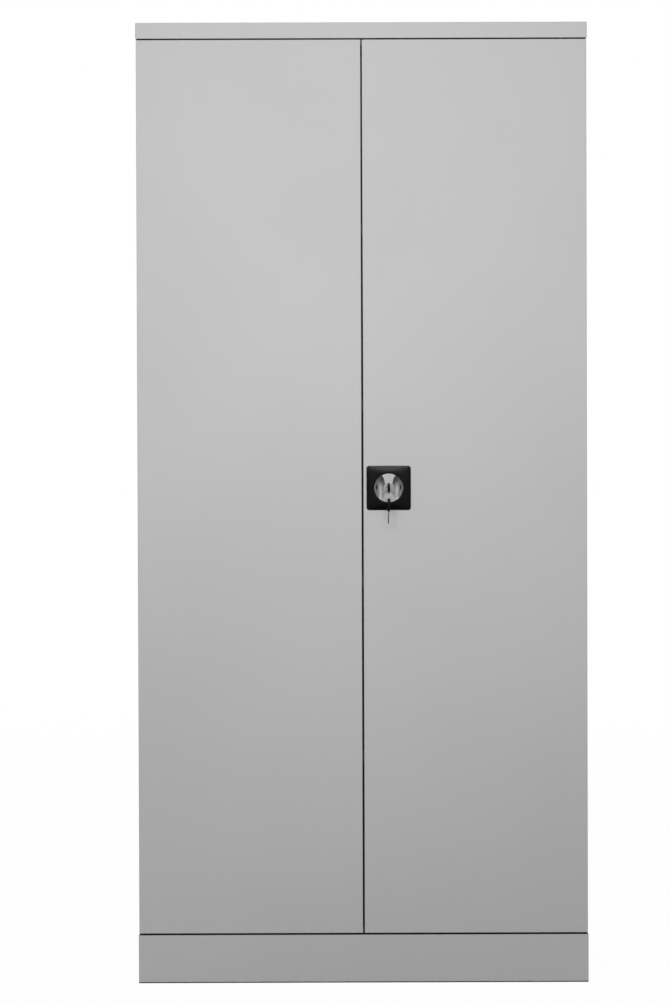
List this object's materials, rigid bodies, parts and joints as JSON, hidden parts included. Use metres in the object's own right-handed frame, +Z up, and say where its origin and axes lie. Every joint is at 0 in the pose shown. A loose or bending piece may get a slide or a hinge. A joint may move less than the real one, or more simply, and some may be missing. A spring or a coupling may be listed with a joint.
{
  "type": "metal storage cabinet",
  "caption": "Tall steel storage cabinet with overlay doors on pivot pins, adjustable shelves, and a turn-knob lock that drives rods up and down.",
  "frame": {"origin": "on the floor, at the centre of the bounding box seen from above", "axes": "+Z up, +Y from the doors to the back, +X to the right of someone who faces the doors"},
  "size_m": [0.915, 0.466, 1.95],
  "materials": {
    "grey_paint": "light grey powder coat, semi-matt, fine texture",
    "black_plastic": "moulded, satin",
    "chrome": "bright",
    "key_metal": "nickel plated",
    "zinc_plated": "bright zinc",
    "white_nylon": "moulded"
  },
  "bodies": {
    "cabinet": {"base_frame": "grey_paint", "floor_tray": "grey_paint", "top_cap": "grey_paint", "back_panel": "grey_paint", "side_panel_left": "grey_paint", "side_panel_right": "grey_paint", "post_left_front": "grey_paint", "post_left_rear": "grey_paint", "pivot_pin_left_top": "zinc_plated", "pivot_pin_left_bottom": "zinc_plated", "post_right_front": "grey_paint", "post_right_rear": "grey_paint", "pivot_pin_right_top": "zinc_plated", "pivot_pin_right_bottom": "zinc_plated", "shelf_1": "grey_paint", "shelf_clip_1_left_front": "zinc_plated", "shelf_clip_1_left_rear": "zinc_plated", "shelf_clip_1_right_front": "zinc_plated", "shelf_clip_1_right_rear": "zinc_plated", "shelf_2": "grey_paint", "shelf_clip_2_left_front": "zinc_plated", "shelf_clip_2_left_rear": "zinc_plated", "shelf_clip_2_right_front": "zinc_plated", "shelf_clip_2_right_rear": "zinc_plated", "shelf_3": "grey_paint", "shelf_clip_3_left_front": "zinc_plated", "shelf_clip_3_left_rear": "zinc_plated", "shelf_clip_3_right_front": "zinc_plated", "shelf_clip_3_right_rear": "zinc_plated", "shelf_4": "grey_paint", "shelf_clip_4_left_front": "zinc_plated", "shelf_clip_4_left_rear": "zinc_plated", "shelf_clip_4_right_front": "zinc_plated", "shelf_clip_4_right_rear": "zinc_plated"},
    "left_door": {"door_left": "grey_paint", "door_stiffener_left": "grey_paint", "hinge_bush_left_top": "black_plastic", "hinge_bush_left_bottom": "black_plastic"},
    "right_door": {"door_right": "grey_paint", "door_stiffener_right": "grey_paint", "hinge_bush_right_top": "black_plastic", "hinge_bush_right_bottom": "black_plastic", "lock_plate": "black_plastic", "lock_housing": "zinc_plated", "rod_guide_upper_near": "white_nylon", "rod_guide_upper_far": "white_nylon", "rod_guide_lower_near": "white_nylon", "rod_guide_lower_far": "white_nylon"},
    "knob": {"knob": "chrome", "lock_cam": "zinc_plated", "cam_screw": "zinc_plated"},
    "key": {"lock_plug": "key_metal", "key_blade": "key_metal", "key_bow": "black_plastic"},
    "ring": {"key_ring": "chrome"},
    "spare_key": {"spare_key_blade": "key_metal", "spare_key_bow": "black_plastic"},
    "rod_upper": {"rod_upper": "zinc_plated"},
    "rod_lower": {"rod_lower": "zinc_plated"}
  },
  "joints": [
    {"name": "left_door_hinge", "type": "hinge", "parent": "cabinet", "child": "left_door", "pos_m": [-0.4493, -0.179, 1], "axis": [0, 0, -1], "range_deg": [0, 180]},
    {"name": "right_door_hinge", "type": "hinge", "parent": "cabinet", "child": "right_door", "pos_m": [0.4493, -0.179, 1], "axis": [0, 0, 1], "range_deg": [0, 180]},
    {"name": "knob_turn", "type": "hinge", "parent": "right_door", "child": "knob", "pos_m": [0.0535, -0.195, 1.0065], "axis": [0, -1, 0], "range_deg": [0, 90]},
    {"name": "key_turn", "type": "hinge", "parent": "knob", "child": "key", "pos_m": [0.0535, -0.1976, 1.0065], "axis": [0, -1, 0], "range_deg": [0, 90]},
    {"name": "ring_swing", "type": "hinge", "parent": "key", "child": "ring", "pos_m": [0.0535, -0.222, 1.00541], "axis": [-1, 0, 0], "range_deg": [-10, 80]},
    {"name": "spare_key_swing", "type": "hinge", "parent": "ring", "child": "spare_key", "pos_m": [0.0535, -0.222, 0.98141], "axis": [-1, 0, 0], "range_deg": [-5, 60]},
    {"name": "rod_upper_slide", "type": "slide", "parent": "right_door", "child": "rod_upper", "axis": [0, 0, 1], "range_m": [0, 0.018]},
    {"name": "rod_lower_slide", "type": "slide", "parent": "right_door", "child": "rod_lower", "axis": [0, 0, -1], "range_m": [0, 0.018]}
  ],
  "couplings": [
    {"joint": "rod_upper_slide", "follows": "knob_turn", "m_per_rad": 0.011459},
    {"joint": "rod_lower_slide", "follows": "knob_turn", "m_per_rad": 0.011459}
  ]
}
